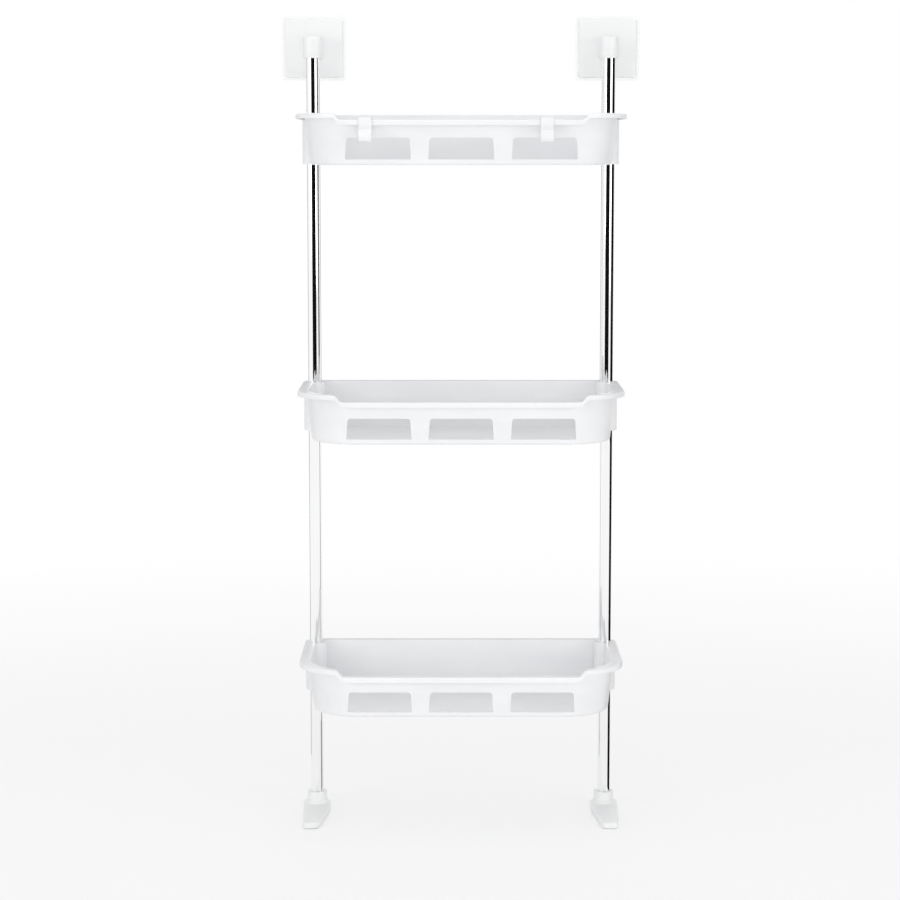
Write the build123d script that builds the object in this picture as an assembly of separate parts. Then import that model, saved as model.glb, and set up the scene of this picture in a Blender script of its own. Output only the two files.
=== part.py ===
from build123d import *
import os

# Over-the-toilet storage rack. Sizes are in millimetres.
# X runs along the wall, +Y points at the wall and Z is up from the cistern lid.

# Uprights
TUBE_OD = 12.7
TUBE_WALL = 0.6
TUBE_INSET = 11.25  # from a basket's side edge in to the tube axis
WALL_GAP = 24.0  # from the tube axis back to the wall
TUBE_FIT = 0.05  # radial clearance of a tube in any socket

# Basket, measured from the tube axis and from its own underside
BASKET_PITCH = 253.7
LOWEST_BASKET_Z = 119.2
BASKET_HEIGHT = 46.4
RIM_HALF_WIDTH = 151.25
RIM_FRONT = 135.0
RIM_BACK = 15.0
LIP_OVERHANG = 5.0  # in front of the wall and behind it
LIP_SIDE_OVERHANG = 8.4  # wider, so that it covers the socket columns
LIP_HEIGHT = 4.6
LIP_SKIRT = 1.8
LIP_BEVEL = 1.0
FLANGE_THICKNESS = 2.0
WALL_THICKNESS = 2.2
FLOOR_THICKNESS = 2.4
SIDE_DRAFT = 4.6
FRONT_DRAFT = 9.0
BACK_DRAFT = 2.0
FRONT_CORNER_R = 46.0
BACK_CORNER_R = 10.0
CORNER_R_DRAFT = 3.0
FLOOR_EDGE_R = 3.0
DIP_DEPTH = 6.2  # the middle of the front rim lies this much lower
DIP_INSET = 44.25  # from a basket's side edge in to the level middle of the dip
DIP_RUN = 10.0

WINDOW_COUNT = 3
WINDOW_PITCH = 75.0
WINDOW_WIDTH = 59.5
WINDOW_TAPER = 1.2
WINDOW_BOTTOM = 5.0
WINDOW_TOP = 24.6
WINDOW_TOP_R = 3.0

SOCKET_R = 10.2
SOCKET_WEB = 3.4

# Feet
PAD_THICKNESS = 1.2
PAD_INSET = 1.6
FOOT_TOP = 6.2
FOOT_BACK = 10.5
FOOT_TIP = 77.0
FOOT_OUTER_BACK = 14.0
FOOT_OUTER_TIP = 9.5
FOOT_INNER = 13.0
FOOT_INNER_TIP = 6.2
FOOT_KINK = 22.0  # the inner edge runs straight to here, then slants to the tip
FOOT_OUTER_TIP_R = 3.0
FOOT_INNER_TIP_R = 7.0
FOOT_BACK_R = 6.0
FOOT_BEVEL = 1.2
FOOT_SOCKET_FLOOR = 3.4
COLLAR_TOP = 17.5
COLLAR_R = 9.5
COLLAR_FLARE = 3.0

# Wall brackets
SHEET_SIZE = 61.0
SHEET_THICKNESS = 1.0
SHEET_CORNER_R = 3.5
PLATE_SIZE = 56.0
PLATE_THICKNESS = 4.0
PLATE_CORNER_R = 3.0
PLATE_BEVEL = 1.2
BRACKET_RISE = 63.3  # from the top basket's rim up to the middle of the plate
BOSS_R = 9.0
BOSS_HEIGHT = 20.0
BOSS_CAP = 4.0
BOSS_BEVEL = 0.8
NECK_HALF_WIDTH = 6.5
NECK_FLARE = 2.5

# Hooks
HOOK_WIDTH = 11.5
HOOK_THICKNESS = 2.0
HOOK_GAP = 0.3  # running clearance to the rim on every side
HOOK_DROP = 19.6  # from the rim down to the underside of the bend
HOOK_THROAT = 7.0
HOOK_PRONG = 11.0
HOOK_INNER_LEG = 8.0
HOOK_EDGE_R = 1.2
HOOK_INSETS = {"left": 21.0, "right": 30.5}  # from the end of the level rim in to the hook's middle

SIDES = {"left": -1, "right": 1}
LEVELS = ("bottom", "middle", "top")
SECTIONS = ("foot", "lower", "upper", "top")

# The overall depth runs from the hook prongs to the wall; the frame's origin is at its middle.
HOOK_REACH = RIM_FRONT + HOOK_GAP + HOOK_THROAT + 2 * HOOK_THICKNESS
TUBE_Y = (HOOK_REACH - WALL_GAP) / 2
TUBE_X = RIM_HALF_WIDTH - TUBE_INSET
DIP_HALF_WIDTH = RIM_HALF_WIDTH - DIP_INSET
TOP_BASKET_Z = LOWEST_BASKET_Z + (len(LEVELS) - 1) * BASKET_PITCH
PLATE_CENTRE_Z = TOP_BASKET_Z + BASKET_HEIGHT + BRACKET_RISE
SOCKET_DEPTH = (BASKET_HEIGHT - SOCKET_WEB) / 2
BORE_R = TUBE_OD / 2 + TUBE_FIT
LOW_RIM = BASKET_HEIGHT - DIP_DEPTH
FAR = 400.0  # longer than any part, for cutting right through
TINY = 0.01  # for telling whether an edge lies on an outline
UPWARD = 0.3  # a face whose unit normal rises more than this is a top


def plan_face(half_width, front, back, front_r, back_r):
    """Rounded outline of a basket, seen from above, with the tube axes at y = 0."""
    outline = Polyline(
        (-half_width, back),
        (-half_width, -front),
        (half_width, -front),
        (half_width, back),
        close=True,
    )
    face = make_face(outline)
    face = fillet(face.vertices().sort_by(Axis.Y)[:2], front_r)
    return fillet(face.vertices().sort_by(Axis.Y)[-2:], back_r)


def wall_face(z, inset):
    """Outline of the drafted basket wall at height z, drawn in by inset."""
    share = 1 - z / BASKET_HEIGHT
    lean = inset + LIP_OVERHANG
    radius_loss = inset + CORNER_R_DRAFT * share
    face = plan_face(
        RIM_HALF_WIDTH - inset - LIP_SIDE_OVERHANG - SIDE_DRAFT * share,
        RIM_FRONT - lean - FRONT_DRAFT * share,
        RIM_BACK - lean - BACK_DRAFT * share,
        FRONT_CORNER_R - radius_loss,
        BACK_CORNER_R - radius_loss,
    )
    return Pos(0, 0, z) * face


def rim_band(depth):
    """Everything within depth of the rim's top edge, which dips in the middle of the front."""
    half = RIM_HALF_WIDTH + 10
    dip_end = DIP_HALF_WIDTH + DIP_RUN
    level = [(1, 0), (1, 0)]
    lines = []
    for z_shift in (0, -depth):
        high = BASKET_HEIGHT + z_shift
        low = LOW_RIM + z_shift
        lines.append(Line((-half, high), (-dip_end, high)))
        lines.append(Spline((-dip_end, high), (-DIP_HALF_WIDTH, low), tangents=level))
        lines.append(Line((-DIP_HALF_WIDTH, low), (DIP_HALF_WIDTH, low)))
        lines.append(Spline((DIP_HALF_WIDTH, low), (dip_end, high), tangents=level))
        lines.append(Line((dip_end, high), (half, high)))
    for x in (-half, half):
        lines.append(Line((x, BASKET_HEIGHT - depth), (x, BASKET_HEIGHT)))
    profile = make_face(lines)
    middle = (RIM_BACK - RIM_FRONT) / 2
    front = extrude(Plane.XZ * profile, amount=RIM_FRONT + 20)
    front = front & Pos(0, middle - FAR / 2, 0) * Box(FAR, FAR, FAR)
    back = Box(2 * half, FAR / 2, depth, align=(Align.CENTER, Align.MIN, Align.MAX))
    return front + Pos(0, middle, BASKET_HEIGHT) * back


def outer_top_edges(body, outline):
    """Edges of the lip's upward faces that run along its outer outline."""
    wire = outline.face().outer_wire()
    found = []
    for face in body.faces():
        if face.normal_at().Z < UPWARD:
            continue
        for edge in face.edges():
            middle = edge @ 0.5
            if wire.distance_to(Vector(middle.X, middle.Y, 0)) < TINY:
                found.append(edge)
    return found


def lip():
    """The rim's flat flange with its turned-down skirt."""
    outer = plan_face(
        RIM_HALF_WIDTH,
        RIM_FRONT,
        RIM_BACK,
        FRONT_CORNER_R + LIP_OVERHANG,
        BACK_CORNER_R + LIP_OVERHANG,
    )
    inner = plan_face(
        RIM_HALF_WIDTH - LIP_SKIRT,
        RIM_FRONT - LIP_SKIRT,
        RIM_BACK - LIP_SKIRT,
        FRONT_CORNER_R + LIP_OVERHANG - LIP_SKIRT,
        BACK_CORNER_R + LIP_OVERHANG - LIP_SKIRT,
    )
    block = extrude(outer, amount=BASKET_HEIGHT)
    ring = block - extrude(inner, amount=BASKET_HEIGHT)
    body = (block & rim_band(FLANGE_THICKNESS)) + (ring & rim_band(LIP_HEIGHT))
    return chamfer(outer_top_edges(body, outer), LIP_BEVEL)


def window(x):
    """Prism that cuts one window through the front wall."""
    half = WINDOW_WIDTH / 2
    outline = Polyline(
        (x - half, WINDOW_BOTTOM),
        (x + half, WINDOW_BOTTOM),
        (x + half - WINDOW_TAPER, WINDOW_TOP),
        (x - half + WINDOW_TAPER, WINDOW_TOP),
        close=True,
    )
    face = make_face(outline)
    face = fillet(face.vertices().sort_by(Axis.Y)[-2:], WINDOW_TOP_R)
    reach = RIM_FRONT - LIP_OVERHANG - FRONT_DRAFT - 3 * WALL_THICKNESS
    return Pos(0, -reach, 0) * extrude(Plane.XZ * face, amount=FRONT_DRAFT + 10 * WALL_THICKNESS)


def basket():
    """One moulded basket with its underside at z = 0 and the tube axes at y = 0."""
    above = BASKET_HEIGHT + 4
    outer = loft([wall_face(0, 0), wall_face(BASKET_HEIGHT, 0)], ruled=True)
    outer = fillet(outer.faces().sort_by(Axis.Z)[0].edges(), FLOOR_EDGE_R)
    cavity = loft(
        [wall_face(FLOOR_THICKNESS, WALL_THICKNESS), wall_face(above, WALL_THICKNESS)],
        ruled=True,
    )
    cavity = fillet(cavity.faces().sort_by(Axis.Z)[0].edges(), FLOOR_EDGE_R - 1)
    body = (outer & rim_band(BASKET_HEIGHT + 10)) + lip() - cavity

    for side in SIDES.values():
        x = side * TUBE_X
        column = Cylinder(SOCKET_R, BASKET_HEIGHT, align=(Align.CENTER, Align.CENTER, Align.MIN))
        body += Pos(x, 0, 0) * column
    for side in SIDES.values():
        x = side * TUBE_X
        bore = Cylinder(BORE_R, SOCKET_DEPTH, align=(Align.CENTER, Align.CENTER, Align.MIN))
        body -= Pos(x, 0, 0) * bore
        body -= Pos(x, 0, BASKET_HEIGHT - SOCKET_DEPTH) * bore

    for i in range(WINDOW_COUNT):
        body -= window((i - (WINDOW_COUNT - 1) / 2) * WINDOW_PITCH)
    return body


def tube(length):
    """One length of thin-walled tube standing on z = 0."""
    grounded = (Align.CENTER, Align.CENTER, Align.MIN)
    outer = Cylinder(TUBE_OD / 2, length, align=grounded)
    return outer - Cylinder(TUBE_OD / 2 - TUBE_WALL, length, align=grounded)


def tube_spans():
    """Lowest and highest point of each length of one upright, by name."""
    floors = [LOWEST_BASKET_Z + i * BASKET_PITCH for i in range(len(LEVELS))]
    ends = [(z + SOCKET_DEPTH, z + SOCKET_DEPTH + SOCKET_WEB) for z in floors]
    starts = [FOOT_SOCKET_FLOOR] + [top for _, top in ends]
    stops = [bottom for bottom, _ in ends] + [boss_top() - BOSS_CAP]
    return dict(zip(SECTIONS, zip(starts, stops)))


def foot_outline(inset):
    """Outline of the left foot from above, drawn in by inset, with the tube axis at the origin."""
    outline = Polyline(
        (-FOOT_OUTER_BACK, FOOT_BACK),
        (-FOOT_OUTER_TIP, -FOOT_TIP),
        (FOOT_INNER_TIP, -FOOT_TIP),
        (FOOT_INNER, -FOOT_KINK),
        (FOOT_INNER, FOOT_BACK),
        close=True,
    )
    face = make_face(outline)
    outer_tip, inner_tip = face.vertices().sort_by(Axis.Y)[:2].sort_by(Axis.X)
    face = fillet(outer_tip, FOOT_OUTER_TIP_R)
    face = fillet(face.vertices().sort_by_distance(inner_tip)[0], FOOT_INNER_TIP_R)
    face = fillet(face.vertices().sort_by(Axis.Y)[-2:], FOOT_BACK_R)
    return offset(face, amount=-inset) if inset else face


def left_foot():
    """The left foot: a tongue along the lid with a collar for the tube."""
    grounded = (Align.CENTER, Align.CENTER, Align.MIN)
    tongue = Pos(0, 0, PAD_THICKNESS) * extrude(foot_outline(0), amount=FOOT_TOP - PAD_THICKNESS)
    tongue = chamfer(tongue.faces().sort_by(Axis.Z)[-1].edges(), FOOT_BEVEL)
    flare = Pos(0, 0, FOOT_TOP) * Cone(COLLAR_R + COLLAR_FLARE, COLLAR_R, COLLAR_FLARE, align=grounded)
    collar = Cylinder(COLLAR_R, COLLAR_TOP - PAD_THICKNESS, align=grounded)
    collar = chamfer(collar.edges().sort_by(Axis.Z)[-1:], FOOT_BEVEL / 2)
    plan = extrude(foot_outline(0), amount=COLLAR_TOP)
    body = tongue + ((Pos(0, 0, PAD_THICKNESS) * collar + flare) & plan)
    bore = Cylinder(BORE_R, COLLAR_TOP, align=grounded)
    return body - Pos(0, 0, FOOT_SOCKET_FLOOR) * bore


def left_foot_pad():
    """The non-slip pad under the left foot."""
    return extrude(foot_outline(PAD_INSET), amount=PAD_THICKNESS)


def boss_top():
    """Height of the closed top of a bracket's socket."""
    return PLATE_CENTRE_Z + BOSS_HEIGHT / 2


def square_slab(size, corner_r, thickness, back_y):
    """Upright square slab whose back lies at back_y."""
    face = RectangleRounded(size, size, corner_r)
    return Pos(0, back_y, PLATE_CENTRE_Z) * extrude(Plane.XZ * face, amount=thickness)


def bracket():
    """A wall bracket: a square plate with a socket that caps the tube."""
    plate_back = WALL_GAP - SHEET_THICKNESS
    plate_front = plate_back - PLATE_THICKNESS
    plate = square_slab(PLATE_SIZE, PLATE_CORNER_R, PLATE_THICKNESS, plate_back)
    plate = chamfer(plate.faces().sort_by(Axis.Y)[0].edges(), PLATE_BEVEL)
    flare_start = plate_front - NECK_FLARE
    flare_half = NECK_HALF_WIDTH + NECK_FLARE
    neck = make_face(
        [
            Line((-NECK_HALF_WIDTH, 0), (NECK_HALF_WIDTH, 0)),
            Line((NECK_HALF_WIDTH, 0), (NECK_HALF_WIDTH, flare_start)),
            JernArc((NECK_HALF_WIDTH, flare_start), (0, 1), NECK_FLARE, -90),
            Polyline(
                (flare_half, plate_front),
                (flare_half, plate_front + 2 * BOSS_BEVEL),
                (-flare_half, plate_front + 2 * BOSS_BEVEL),
                (-flare_half, plate_front),
            ),
            JernArc((-NECK_HALF_WIDTH, flare_start), (0, 1), NECK_FLARE, 90),
            Line((-NECK_HALF_WIDTH, flare_start), (-NECK_HALF_WIDTH, 0)),
        ]
    )
    bottom = boss_top() - BOSS_HEIGHT
    boss = extrude(Circle(BOSS_R) + neck, amount=BOSS_HEIGHT)
    boss = chamfer(boss.faces().sort_by(Axis.Z)[-1].edges(), BOSS_BEVEL)
    socket = Cylinder(BORE_R, BOSS_HEIGHT - BOSS_CAP, align=(Align.CENTER, Align.CENTER, Align.MIN))
    return plate + Pos(0, 0, bottom) * (boss - socket)


def adhesive_sheet():
    """The clear adhesive sheet between a bracket and the wall."""
    return square_slab(SHEET_SIZE, SHEET_CORNER_R, SHEET_THICKNESS, WALL_GAP)


def hook():
    """A hook that saddles the dipped front rim, with the rim's top at z = 0 and the tube axes at y = 0."""
    slope = FRONT_DRAFT / BASKET_HEIGHT
    rim_inner = -(RIM_FRONT - LIP_OVERHANG - WALL_THICKNESS) + slope * DIP_DEPTH
    leg_y = rim_inner + HOOK_GAP
    front_y = -RIM_FRONT - HOOK_GAP
    top = HOOK_GAP + HOOK_THICKNESS
    leg = make_face(
        Polyline(
            (leg_y - slope * HOOK_GAP, HOOK_GAP),
            (leg_y - slope * HOOK_GAP, top),
            (leg_y - slope * HOOK_GAP + HOOK_THICKNESS, top),
            (leg_y + slope * HOOK_INNER_LEG + HOOK_THICKNESS, -HOOK_INNER_LEG),
            (leg_y + slope * HOOK_INNER_LEG, -HOOK_INNER_LEG),
            close=True,
        )
    )
    grounded = (Align.MIN, Align.MIN)
    bridge_length = leg_y - slope * HOOK_GAP - front_y + HOOK_THICKNESS
    bridge = Rectangle(bridge_length, HOOK_THICKNESS, align=grounded)
    bridge = Pos(front_y - HOOK_THICKNESS, HOOK_GAP) * bridge
    bend_r = HOOK_THROAT / 2 + HOOK_THICKNESS
    bend_z = -HOOK_DROP + bend_r
    bend_y = front_y - bend_r
    shank = Pos(front_y - HOOK_THICKNESS, bend_z) * Rectangle(HOOK_THICKNESS, top - bend_z, align=grounded)
    ring = Circle(bend_r) - Circle(HOOK_THROAT / 2)
    lower = Rectangle(4 * bend_r, 2 * bend_r, align=(Align.CENTER, Align.MAX))
    bend = Pos(bend_y, bend_z) * (ring & lower)
    prong_height = HOOK_PRONG - bend_r - HOOK_THICKNESS / 2
    prong_y = bend_y - bend_r
    prong = Pos(prong_y, bend_z) * Rectangle(HOOK_THICKNESS, prong_height, align=grounded)
    tip = Pos(prong_y + HOOK_THICKNESS / 2, bend_z + prong_height) * Circle(HOOK_THICKNESS / 2)
    profile = leg + bridge + shank + bend + prong + tip
    profile = fillet(profile.vertices().sort_by(Axis.Y)[-2:], HOOK_EDGE_R)
    return extrude(Plane.YZ * profile, amount=HOOK_WIDTH / 2, both=True)


def assembly():
    """Every piece in the shared frame, by node name."""
    nodes = {}
    one_basket = basket()
    for i, level in enumerate(LEVELS):
        z = LOWEST_BASKET_Z + i * BASKET_PITCH
        nodes[f"basket_{level}"] = Pos(0, TUBE_Y, z) * one_basket

    for name, side in SIDES.items():
        axis = Pos(side * TUBE_X, TUBE_Y, 0)
        for section, (start, stop) in tube_spans().items():
            nodes[f"tube_{name}_{section}"] = axis * Pos(0, 0, start) * tube(stop - start)
        foot = left_foot()
        pad = left_foot_pad()
        if side > 0:
            foot = mirror(foot, about=Plane.YZ)
            pad = mirror(pad, about=Plane.YZ)
        nodes[f"foot_{name}"] = axis * foot
        nodes[f"foot_pad_{name}"] = axis * pad
        nodes[f"wall_bracket_{name}"] = axis * bracket()
        nodes[f"adhesive_sheet_{name}"] = axis * adhesive_sheet()
        hook_x = side * (DIP_HALF_WIDTH - HOOK_INSETS[name])
        nodes[f"hook_{name}"] = Pos(hook_x, TUBE_Y, TOP_BASKET_Z + LOW_RIM) * hook()
    return nodes


os.makedirs("parts", exist_ok=True)
for node, shape in assembly().items():
    export_step(shape, f"parts/{node}.step")
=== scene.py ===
"""Over-the-toilet storage rack: finishes, softened edges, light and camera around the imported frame.

Lengths are in metres, angles in degrees and lamp powers in watts. As in the frame, +X is to the right as
seen from the front, +Y is towards the wall and +Z is up.
"""

import logging
import math
from dataclasses import dataclass
from enum import Enum
from typing import TypeAlias

import bpy
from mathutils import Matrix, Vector


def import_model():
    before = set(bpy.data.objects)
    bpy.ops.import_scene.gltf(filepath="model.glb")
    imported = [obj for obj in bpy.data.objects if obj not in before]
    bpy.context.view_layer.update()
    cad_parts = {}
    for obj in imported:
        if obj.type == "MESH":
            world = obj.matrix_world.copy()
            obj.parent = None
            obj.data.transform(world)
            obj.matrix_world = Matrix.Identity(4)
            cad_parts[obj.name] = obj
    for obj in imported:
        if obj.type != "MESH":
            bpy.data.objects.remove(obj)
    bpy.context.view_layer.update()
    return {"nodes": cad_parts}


LOG = logging.getLogger("rack")

Colour: TypeAlias = tuple[float, float, float, float]
Point: TypeAlias = tuple[float, float, float]
Span: TypeAlias = tuple[float, float]
Nodes: TypeAlias = dict[str, bpy.types.Object]
Value: TypeAlias = "float | Colour | Point | Wire"

WHITE: Colour = (1.0, 1.0, 1.0, 1.0)
LAMP_AIM: Point = (0.0, 0.0, 0.4)
MID_NOISE = 0.5  # the value that noise swings about
WEAVE_DARK = 0.6  # shares of a cloth's tone, in the hollows and on the threads of its weave
WEAVE_PALE = 1.4


class Side(Enum):
    """The rack's two sides, as seen from the front."""

    LEFT = "left"
    RIGHT = "right"


class Level(Enum):
    """The three baskets, from the lowest up."""

    BOTTOM = "bottom"
    MIDDLE = "middle"
    TOP = "top"


class Length(Enum):
    """The lengths of tube in one upright, from the lowest up."""

    FOOT = "foot"
    LOWER = "lower"
    UPPER = "upper"
    TOP = "top"


@dataclass(frozen=True)
class Cloud:
    """A layer of cloudy noise."""

    scale: float  # clouds in a metre
    octaves: float = 2.0  # layers of ever finer cloud
    finer: float = 0.5  # strength of each finer layer
    band: Span = (0.3, 0.7)  # the values that an eased cloud spreads from 0 to 1
    stretch: Point | None = None  # a further scale along each axis


@dataclass(frozen=True)
class Dots:
    """A field of round dots."""

    scale: float  # dots in a metre
    scatter: float  # 0 for a regular grid, 1 for random places
    rim: Span  # where a dot starts to fade and where it ends, in spacings


class Wire:
    """An output socket that takes part in sums, each of which adds a Math node."""

    def __init__(self, sheet: "NodeSheet", socket: bpy.types.NodeSocket) -> None:
        """Keeps the socket and the sheet that it belongs to."""
        self.sheet = sheet
        self.socket = socket

    def _math(self, operation: str, first: Value, second: Value) -> "Wire":
        """Adds one Math node.

        Args:
            operation: The node's operation.
            first: The upper value or wire.
            second: The lower value or wire.

        Returns:
            The node's result.
        """
        node = self.sheet.add("ShaderNodeMath", {"operation": operation}, {0: first, 1: second})
        return Wire(self.sheet, node.outputs[0])

    def __add__(self, other: Value) -> "Wire":
        """Adds a value or wire."""
        return self._math("ADD", self, other)

    def __radd__(self, other: Value) -> "Wire":
        """Adds to a value."""
        return self._math("ADD", other, self)

    def __sub__(self, other: Value) -> "Wire":
        """Takes away a value or wire."""
        return self._math("SUBTRACT", self, other)

    def __rsub__(self, other: Value) -> "Wire":
        """Is taken away from a value."""
        return self._math("SUBTRACT", other, self)

    def __mul__(self, other: Value) -> "Wire":
        """Multiplies by a value or wire."""
        return self._math("MULTIPLY", self, other)

    def __rmul__(self, other: Value) -> "Wire":
        """Multiplies a value."""
        return self._math("MULTIPLY", other, self)

    def most(self, other: Value) -> "Wire":
        """The larger of this and another."""
        return self._math("MAXIMUM", self, other)


class NodeSheet:
    """One node tree, with a single way to add any node."""

    def __init__(self, tree: bpy.types.NodeTree) -> None:
        """Empties the tree."""
        self.tree = tree
        tree.nodes.clear()

    def add(self, kind: str, settings: dict | None = None, sockets: dict | None = None) -> bpy.types.Node:
        """Adds a node, sets it up and feeds its sockets.

        Args:
            kind: The node's type.
            settings: Properties by name.
            sockets: Values or wires by the input's name or number.

        Returns:
            The new node.
        """
        node = self.tree.nodes.new(kind)
        for name, value in (settings or {}).items():
            setattr(node, name, value)
        for name, value in (sockets or {}).items():
            if isinstance(value, Wire):
                self.tree.links.new(value.socket, node.inputs[name])
            else:
                node.inputs[name].default_value = value
        return node

    def wire(self, node: bpy.types.Node, output: str | int = 0) -> Wire:
        """One of a node's outputs as a wire."""
        return Wire(self, node.outputs[output])

    def place(self) -> Wire:
        """The surface's own place."""
        return self.wire(self.add("ShaderNodeTexCoord"), "Object")

    def stretched(self, scale: Point) -> Wire:
        """The surface's place, scaled along each axis."""
        return self.wire(self.add("ShaderNodeMapping", None, {"Vector": self.place(), "Scale": scale}))

    def cloud(self, layer: Cloud) -> Wire:
        """Cloudy noise from 0 to 1.

        Args:
            layer: The noise's grain and stretch.

        Returns:
            The noise's value.
        """
        place = self.stretched(layer.stretch) if layer.stretch else self.place()
        sockets = {"Vector": place, "Scale": layer.scale, "Detail": layer.octaves, "Roughness": layer.finer}
        return self.wire(self.add("ShaderNodeTexNoise", None, sockets))

    def dots(self, pattern: Dots) -> Wire:
        """Round dots with soft rims.

        Args:
            pattern: How the dots are spaced, and how large they are.

        Returns:
            1 inside a dot and 0 between the dots.
        """
        sockets = {"Vector": self.place(), "Scale": pattern.scale, "Randomness": pattern.scatter}
        cell = self.add("ShaderNodeTexVoronoi", {"feature": "F1"}, sockets)
        return 1.0 - self.ease(self.wire(cell, "Distance"), pattern.rim)

    def ease(self, value: Wire, band: Span) -> Wire:
        """A smooth step.

        Args:
            value: What is eased.
            band: The values that become 0 and 1.

        Returns:
            The eased value.
        """
        low, high = band
        sockets = {"Value": value, "From Min": low, "From Max": high}
        return self.wire(self.add("ShaderNodeMapRange", {"interpolation_type": "SMOOTHSTEP"}, sockets))

    def mix(self, factor: Wire, first: Colour | Wire, second: Colour | Wire) -> Wire:
        """A colour between two colours.

        Args:
            factor: 0 for the first colour and 1 for the second.
            first: A colour or a wire that carries one.
            second: The other colour.

        Returns:
            The mixed colour.
        """
        node = self.add("ShaderNodeMix", {"data_type": "RGBA"}, {0: factor, 6: first, 7: second})
        return self.wire(node, 2)

    def bump(self, height: Wire, strength: float, distance: float) -> Wire:
        """A normal that a height has tilted.

        Args:
            height: The height, from 0 to 1.
            strength: How much of the tilt is used.
            distance: The length that a height of 1 stands for.

        Returns:
            The tilted normal.
        """
        sockets = {"Height": height, "Strength": strength, "Distance": distance}
        return self.wire(self.add("ShaderNodeBump", None, sockets))

    def blend(self, factor: Wire, first: bpy.types.Node, second: bpy.types.Node) -> bpy.types.Node:
        """A shader between two shaders.

        Args:
            factor: 0 for the first shader and 1 for the second.
            first: A shader.
            second: The other shader.

        Returns:
            The Mix Shader node.
        """
        sockets = {0: factor, 1: self.wire(first), 2: self.wire(second)}
        return self.add("ShaderNodeMixShader", None, sockets)

    def end(self, shader: bpy.types.Node, kind: str = "ShaderNodeOutputMaterial") -> None:
        """Joins a shader to the tree's output."""
        self.add(kind, None, {"Surface": self.wire(shader)})

    def principled(self, sockets: dict[str, Value]) -> None:
        """Ends the tree with a Principled shader that has these sockets."""
        self.end(self.add("ShaderNodeBsdfPrincipled", None, sockets))


def new_material(name: str) -> tuple[bpy.types.Material, NodeSheet]:
    """Makes an empty material.

    Args:
        name: The finish's name.

    Returns:
        The material and its node sheet.
    """
    material = bpy.data.materials.new(name)
    material.use_nodes = True
    return material, NodeSheet(material.node_tree)


def grey(tone: float) -> Colour:
    """An even grey."""
    return (tone, tone, tone, 1.0)


@dataclass(frozen=True)
class MouldedPlastic:
    """White moulded plastic with a fine skin, cloudy flow marks and faint rubbed patches."""

    name: str
    pale: Colour
    deep: Colour
    roughness: float
    skin: Cloud = Cloud(1400.0)
    skin_rough: float = 0.1
    skin_tilt: float = 0.35
    skin_depth: float = 0.00006
    flow: Cloud = Cloud(16.0, 4.0, 0.55, stretch=(0.6, 1.0, 2.2))
    flow_rough: float = 0.07
    rub: Cloud = Cloud(51.2, 5.0, 0.65, band=(0.52, 0.74))
    rub_rough: float = 0.06
    ior: float = 1.49

    def make(self) -> bpy.types.Material:
        """Builds the material.

        Returns:
            The new material.
        """
        material, sheet = new_material(self.name)
        skin = sheet.cloud(self.skin)
        flow = sheet.cloud(self.flow)
        rub = sheet.ease(sheet.cloud(self.rub), self.rub.band)
        roughness = (
            self.roughness
            + self.flow_rough * (flow - MID_NOISE)
            + self.skin_rough * (skin - MID_NOISE)
            + self.rub_rough * rub
        )
        sheet.principled(
            {
                "Base Color": sheet.mix(sheet.ease(flow, self.flow.band), self.deep, self.pale),
                "Roughness": roughness,
                "IOR": self.ior,
                "Normal": sheet.bump(skin, self.skin_tilt, self.skin_depth),
            }
        )
        return material


@dataclass(frozen=True)
class BrightSteel:
    """Polished steel tube with fine draw lines along it and a few soft smudges."""

    name: str
    pale: Colour
    deep: Colour
    roughness: float
    lines: Cloud = Cloud(1.0, band=(0.25, 0.75), stretch=(1500.0, 1500.0, 5.0))
    line_rough: float = 0.03
    line_tilt: float = 0.04
    line_depth: float = 0.00002
    smudge: Cloud = Cloud(38.0, 4.0, 0.6, band=(0.5, 0.78))
    smudge_rough: float = 0.07

    def make(self) -> bpy.types.Material:
        """Builds the material.

        Returns:
            The new material.
        """
        material, sheet = new_material(self.name)
        lines = sheet.cloud(self.lines)
        smudge = sheet.ease(sheet.cloud(self.smudge), self.smudge.band)
        sheet.principled(
            {
                "Base Color": sheet.mix(sheet.ease(lines, self.lines.band), self.deep, self.pale),
                "Metallic": 1.0,
                "Roughness": self.roughness + self.line_rough * lines + self.smudge_rough * smudge,
                "Normal": sheet.bump(lines, self.line_tilt, self.line_depth),
            }
        )
        return material


@dataclass(frozen=True)
class GripRubber:
    """Soft pale rubber with round grip dots and a dusty bloom."""

    name: str
    pale: Colour
    deep: Colour
    roughness: float
    dots: Dots = Dots(330.0, 0.0, (0.22, 0.36))
    dot_tilt: float = 0.6
    dot_depth: float = 0.0004
    bloom: Cloud = Cloud(120.0, 4.0, 0.6)
    bloom_rough: float = 0.14

    def make(self) -> bpy.types.Material:
        """Builds the material.

        Returns:
            The new material.
        """
        material, sheet = new_material(self.name)
        bloom = sheet.cloud(self.bloom)
        sheet.principled(
            {
                "Base Color": sheet.mix(sheet.ease(bloom, self.bloom.band), self.deep, self.pale),
                "Roughness": self.roughness + self.bloom_rough * (bloom - MID_NOISE),
                "Normal": sheet.bump(sheet.dots(self.dots), self.dot_tilt, self.dot_depth),
            }
        )
        return material


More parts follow.
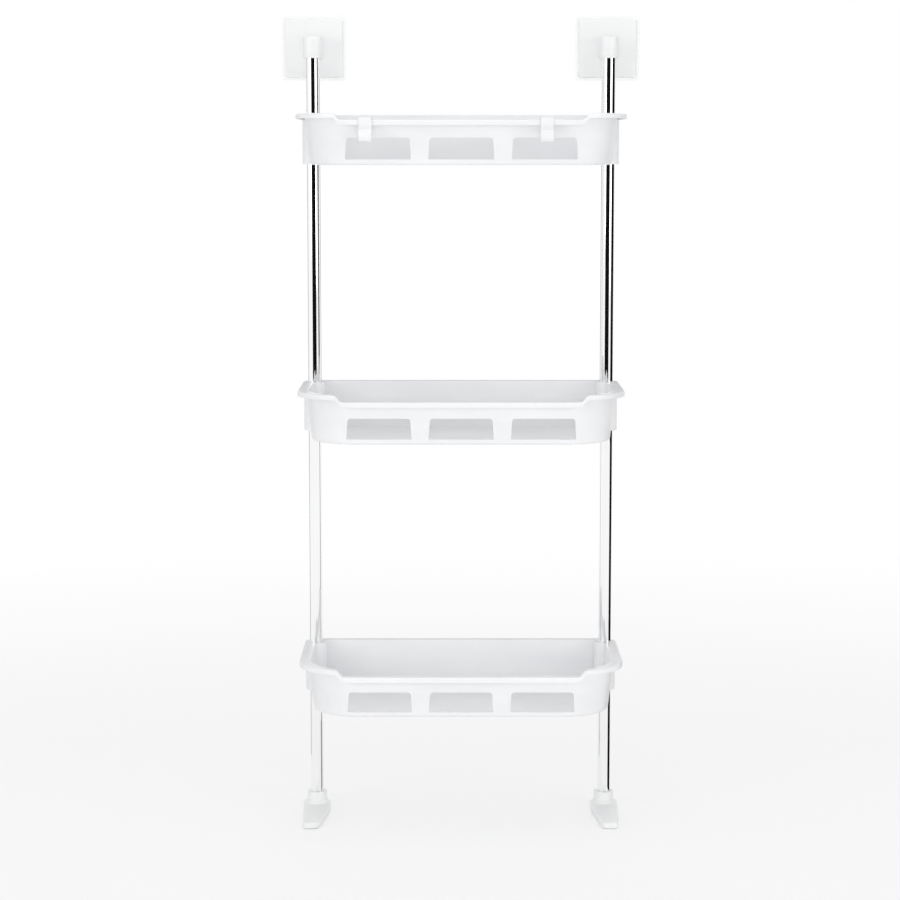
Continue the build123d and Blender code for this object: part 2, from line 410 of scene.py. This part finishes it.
@dataclass(frozen=True)
class ClearAdhesive:
    """Clear adhesive sheet with milky patches and small trapped bubbles."""

    name: str
    tint: Colour
    milky: Colour
    roughness: float
    thin: float
    thick: float
    haze: Cloud = Cloud(60.0, 4.0, 0.6)
    haze_rough: float = 0.1
    bubbles: Dots = Dots(420.0, 1.0, (0.05, 0.16))
    bubble_cover: float = 0.08
    bubble_tilt: float = 0.15
    bubble_depth: float = 0.0002

    def make(self) -> bpy.types.Material:
        """Builds the material.

        Returns:
            The new material.
        """
        material, sheet = new_material(self.name)
        haze = sheet.cloud(self.haze)
        bubbles = sheet.dots(self.bubbles)
        sheet.principled(
            {
                "Base Color": sheet.mix(sheet.ease(haze, self.haze.band), self.tint, self.milky),
                "Roughness": self.roughness + self.haze_rough * haze,
                "Alpha": self.thin + (self.thick - self.thin) * haze + self.bubble_cover * bubbles,
                "Normal": sheet.bump(bubbles, self.bubble_tilt, self.bubble_depth),
            }
        )
        return material


BASKET_WHITE = MouldedPlastic(
    name="basket_plastic",
    pale=(0.9, 0.905, 0.915, 1.0),
    deep=(0.86, 0.868, 0.882, 1.0),
    roughness=0.36,
)
FOOT_WHITE = MouldedPlastic(
    name="foot_plastic",
    pale=(0.91, 0.92, 0.92, 1.0),
    deep=(0.87, 0.882, 0.884, 1.0),
    roughness=0.4,
    skin=Cloud(1100.0),
)
BRACKET_WHITE = MouldedPlastic(
    name="bracket_plastic",
    pale=(0.9, 0.908, 0.908, 1.0),
    deep=(0.865, 0.875, 0.877, 1.0),
    roughness=0.38,
    skin=Cloud(1200.0),
)
HOOK_WHITE = MouldedPlastic(
    name="hook_plastic",
    pale=(0.9, 0.905, 0.915, 1.0),
    deep=(0.87, 0.878, 0.89, 1.0),
    roughness=0.3,
    skin=Cloud(1600.0),
)
TUBE_BRIGHT = BrightSteel(
    name="tube_steel",
    pale=(0.96, 0.962, 0.965, 1.0),
    deep=(0.91, 0.913, 0.92, 1.0),
    roughness=0.03,
)
PAD_GREY = GripRubber(
    name="pad_rubber",
    pale=(0.72, 0.73, 0.74, 1.0),
    deep=(0.63, 0.64, 0.65, 1.0),
    roughness=0.74,
)
SHEET_CLEAR = ClearAdhesive(
    name="adhesive_clear",
    tint=(0.9, 0.93, 0.94, 1.0),
    milky=(0.95, 0.96, 0.96, 1.0),
    roughness=0.34,
    thin=0.14,
    thick=0.3,
)


@dataclass(frozen=True)
class SoftEdges:
    """The small radius that moulding leaves on every edge, as live modifiers on a solid."""

    radius: float
    rounds: int = 3
    sharp: float = 32.0  # edges that turn by more than this are rounded
    flat: float = 0.6  # faces that turn by less than this become one
    joined: float = 0.000004  # points nearer than this become one

    def add(self, piece: bpy.types.Object) -> None:
        """Adds the modifiers that join, clean and round the piece's edges.

        Args:
            piece: The solid's object.
        """
        weld = piece.modifiers.new("join", "WELD")
        weld.merge_threshold = self.joined
        clean = piece.modifiers.new("clean", "DECIMATE")
        clean.decimate_type = "DISSOLVE"
        clean.angle_limit = math.radians(self.flat)
        bevel = piece.modifiers.new("soften", "BEVEL")
        bevel.width = self.radius
        bevel.segments = self.rounds
        bevel.limit_method = "ANGLE"
        bevel.angle_limit = math.radians(self.sharp)
        bevel.harden_normals = True


@dataclass(frozen=True)
class HairGap:
    """A gap too small to see, which keeps a clear piece from sharing a plane with what it lies on."""

    depth: float
    edges: SoftEdges

    def add(self, piece: bpy.types.Object) -> None:
        """Adds the modifiers that soften the piece's edges and draw it in all round.

        Args:
            piece: The solid's object.
        """
        self.edges.add(piece)
        inward = piece.modifiers.new("draw_in", "DISPLACE")
        inward.mid_level = 0.0
        inward.strength = -self.depth


def dress(
    piece: bpy.types.Object,
    material: bpy.types.Material,
    edges: SoftEdges | HairGap | None = None,
) -> bpy.types.Object:
    """Gives a solid its finish and, where it is moulded, its soft edges.

    Args:
        piece: The solid's object.
        material: Its finish.
        edges: What is done to its edges, or None to leave them alone.

    Returns:
        The dressed piece.
    """
    piece.data.materials.clear()
    piece.data.materials.append(material)
    if edges:
        edges.add(piece)
    return piece


@dataclass
class Baskets:
    """The three moulded baskets."""

    edges: SoftEdges = SoftEdges(0.0005)

    def build(self, nodes: Nodes) -> list[bpy.types.Object]:
        """Dresses each basket.

        Args:
            nodes: The rack's solids by name.

        Returns:
            The dressed baskets.
        """
        plastic = BASKET_WHITE.make()
        return [dress(nodes[f"basket_{level.value}"], plastic, self.edges) for level in Level]


@dataclass
class Uprights:
    """The two uprights, four lengths of bright tube each, with their ends left as cut."""

    def build(self, nodes: Nodes) -> list[bpy.types.Object]:
        """Dresses each length of tube.

        Args:
            nodes: The rack's solids by name.

        Returns:
            The dressed tubes.
        """
        steel = TUBE_BRIGHT.make()
        names = [f"tube_{side.value}_{length.value}" for side in Side for length in Length]
        return [dress(nodes[name], steel) for name in names]


@dataclass
class Feet:
    """The two feet with their pads."""

    edges: SoftEdges = SoftEdges(0.0004)

    def build(self, nodes: Nodes) -> list[bpy.types.Object]:
        """Dresses each foot and its pad.

        Args:
            nodes: The rack's solids by name.

        Returns:
            The dressed feet and pads.
        """
        plastic = FOOT_WHITE.make()
        rubber = PAD_GREY.make()
        feet = [dress(nodes[f"foot_{side.value}"], plastic, self.edges) for side in Side]
        pads = [dress(nodes[f"foot_pad_{side.value}"], rubber) for side in Side]
        return feet + pads


@dataclass
class WallBrackets:
    """The two wall brackets with their adhesive sheets."""

    edges: SoftEdges = SoftEdges(0.0004)
    sheet_edges: HairGap = HairGap(0.00004, SoftEdges(0.0001))

    def build(self, nodes: Nodes) -> list[bpy.types.Object]:
        """Dresses each bracket and its sheet.

        Args:
            nodes: The rack's solids by name.

        Returns:
            The dressed brackets and sheets.
        """
        plastic = BRACKET_WHITE.make()
        clear = SHEET_CLEAR.make()
        brackets = [dress(nodes[f"wall_bracket_{side.value}"], plastic, self.edges) for side in Side]
        sheets = [dress(nodes[f"adhesive_sheet_{side.value}"], clear, self.sheet_edges) for side in Side]
        return brackets + sheets


@dataclass
class RimHooks:
    """The two hooks on the top basket's front rim."""

    edges: SoftEdges = SoftEdges(0.0004)

    def build(self, nodes: Nodes) -> list[bpy.types.Object]:
        """Dresses each hook.

        Args:
            nodes: The rack's solids by name.

        Returns:
            The dressed hooks.
        """
        plastic = HOOK_WHITE.make()
        return [dress(nodes[f"hook_{side.value}"], plastic, self.edges) for side in Side]


@dataclass(frozen=True)
class Softbox:
    """A soft square lamp that faces the middle of the rack."""

    name: str
    place: Point
    size: float
    power: float
    mirrored: bool = True  # whether glossy surfaces show it

    def add(self) -> None:
        """Hangs the lamp, out of the camera's sight."""
        bpy.ops.object.light_add(type="AREA", location=self.place)
        lamp = bpy.context.object
        lamp.name = self.name
        lamp.data.size = self.size
        lamp.data.energy = self.power
        away = lamp.location - Vector(LAMP_AIM)
        lamp.rotation_euler = away.to_track_quat("Z", "Y").to_euler()
        lamp.visible_camera = False
        lamp.visible_glossy = self.mirrored


@dataclass(frozen=True)
class DarkFlag:
    """An upright dark or grey panel that only glossy surfaces show."""

    name: str
    bearing: float  # from the front round to the right
    distance: float
    width: float
    low: float
    high: float
    tone: float = 0.008
    weave: Cloud = Cloud(300.0)

    def add(self) -> None:
        """Stands the panel, turned to face the rack."""
        turn = math.radians(self.bearing)
        place = (self.distance * math.sin(turn), -self.distance * math.cos(turn), (self.low + self.high) / 2)
        bpy.ops.mesh.primitive_plane_add(size=1.0, location=place, rotation=(math.pi / 2, 0, turn))
        panel = bpy.context.object
        panel.name = self.name
        panel.scale = (self.width, self.high - self.low, 1.0)
        panel.data.materials.append(self._cloth())
        panel.visible_camera = False
        panel.visible_diffuse = False
        panel.visible_transmission = False
        panel.visible_shadow = False

    def _cloth(self) -> bpy.types.Material:
        """Matt cloth of the panel's tone.

        Returns:
            The new material.
        """
        material, sheet = new_material(self.name)
        hollows = grey(WEAVE_DARK * self.tone)
        threads = grey(WEAVE_PALE * self.tone)
        colour = sheet.mix(sheet.cloud(self.weave), hollows, threads)
        sheet.end(sheet.add("ShaderNodeBsdfDiffuse", None, {"Color": colour}))
        return material


@dataclass
class Studio:
    """Pale floor, white surround, soft lamps, dark flags and the camera."""

    ambient: float = 0.67
    floor_radius: float = 4.2
    floor_sides: int = 96
    floor_tone: float = 0.9
    floor_mottle: float = 0.985  # the darker patches' share of the tone
    floor_cloud: Cloud = Cloud(9.0, 4.0, 0.6)
    floor_white: float = 0.62  # how far the floor at the rack is faded to white
    floor_fade: Span = (0.5, 1.7)  # where the fade starts to grow, and where all is white
    camera_place: Point = (-0.0102, -2.2188, 0.6416)
    camera_pitch: float = 6.568
    camera_sensor: float = 36.0  # millimetres, as the lens is
    camera_lens: float = 95.44
    camera_shift: float = -0.03
    lamps: tuple[Softbox, ...] = (
        Softbox("lamp_left", (-2.1, -1.96, 0.9), 0.9, 9.4),
        Softbox("lamp_right", (2.1, -1.9, 0.8), 0.9, 9.0),
        Softbox("lamp_front", (0.0, -2.7, 0.4), 1.2, 13.0, mirrored=False),
        Softbox("lamp_top", (0.0, -0.6, 2.6), 1.4, 9.0),
        Softbox("lamp_back", (0.0, 2.4, 1.5), 1.6, 8.5),
    )
    flags: tuple[DarkFlag, ...] = (
        DarkFlag("flag_front", 0.0, 0.8, 1.175, 0.27, 1.2),
        DarkFlag("flag_right", 100.0, 0.36, 0.26, 0.33, 2.4),
        DarkFlag("flag_right_low", 106.0, 0.218, 0.075, 0.0, 0.36),
        DarkFlag("flag_left", -118.0, 0.36, 0.06, 0.0, 2.4, tone=0.4),
        DarkFlag("flag_left_low", -131.0, 0.093, 0.05, 0.0, 0.075, tone=0.4),
        DarkFlag("flag_back", 180.0, 0.8, 0.6, 0.27, 1.2),
    )

    def build(self) -> None:
        """Sets up everything around the rack."""
        bpy.context.scene.view_settings.view_transform = "Standard"
        self._surround()
        self._floor()
        for flag in self.flags:
            flag.add()
        for lamp in self.lamps:
            lamp.add()
        self._camera()

    @staticmethod
    def _seen_white(sheet: NodeSheet) -> Wire:
        """Tells rays that should meet a white surround from light that falls on the rack.

        Args:
            sheet: The tree that asks.

        Returns:
            1 for a ray that should meet white, and 0 for the rest.
        """
        path = sheet.add("ShaderNodeLightPath")
        seen = sheet.wire(path, "Is Camera Ray").most(sheet.wire(path, "Is Glossy Ray"))
        return seen.most(sheet.wire(path, "Is Transmission Ray"))

    def _surround(self) -> None:
        """A white surround that lights the rack at a plain level."""
        world = bpy.data.worlds.new("surround")
        bpy.context.scene.world = world
        world.use_nodes = True
        sheet = NodeSheet(world.node_tree)
        light = sheet.add("ShaderNodeBackground", None, {"Color": WHITE, "Strength": self.ambient})
        white = sheet.add("ShaderNodeBackground", None, {"Color": WHITE, "Strength": 1.0})
        sheet.end(sheet.blend(self._seen_white(sheet), light, white), "ShaderNodeOutputWorld")

    def _floor(self) -> None:
        """A pale floor that keeps the rack's shadow, fades to white further off and is clear from below."""
        bpy.ops.mesh.primitive_circle_add(
            vertices=self.floor_sides, radius=self.floor_radius, fill_type="NGON"
        )
        floor = bpy.context.object
        floor.name = "floor"
        material, sheet = new_material("floor")
        away = sheet.add("ShaderNodeVectorMath", {"operation": "LENGTH"}, {0: sheet.place()})
        far = sheet.ease(sheet.wire(away, "Value"), self.floor_fade)
        fade = self.floor_white + (1.0 - self.floor_white) * far
        patches = grey(self.floor_mottle * self.floor_tone)
        colour = sheet.mix(sheet.cloud(self.floor_cloud), patches, grey(self.floor_tone))
        matt = sheet.add("ShaderNodeBsdfDiffuse", None, {"Color": colour})
        white = sheet.add("ShaderNodeEmission", None, {"Color": WHITE, "Strength": 1.0})
        above = sheet.blend(self._seen_white(sheet) * fade, matt, white)
        clear = sheet.add("ShaderNodeBsdfTransparent")
        under = sheet.wire(sheet.add("ShaderNodeNewGeometry"), "Backfacing")
        sheet.end(sheet.blend(under, above, clear))
        floor.data.materials.append(material)

    def _camera(self) -> None:
        """The camera at the photograph's angle."""
        turn = (math.radians(90.0 - self.camera_pitch), 0.0, 0.0)
        bpy.ops.object.camera_add(location=self.camera_place, rotation=turn)
        camera = bpy.context.object
        camera.data.sensor_width = self.camera_sensor
        camera.data.lens = self.camera_lens
        camera.data.shift_y = self.camera_shift
        bpy.context.scene.camera = camera


def main() -> None:
    """Loads the frame, dresses each sub-assembly and sets up the studio."""
    logging.basicConfig(level=logging.INFO, format="%(name)s: %(message)s")
    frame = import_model()
    bpy.ops.object.select_all(action="DESELECT")
    for part in (Baskets(), Uprights(), Feet(), WallBrackets(), RimHooks()):
        for piece in part.build(frame["nodes"]):
            LOG.info("%s dressed in %s", piece.name, piece.data.materials[0].name)
    studio = Studio()
    studio.build()
    LOG.info("studio with %d lamps and %d flags", len(studio.lamps), len(studio.flags))


if __name__ == "__main__":
    main()
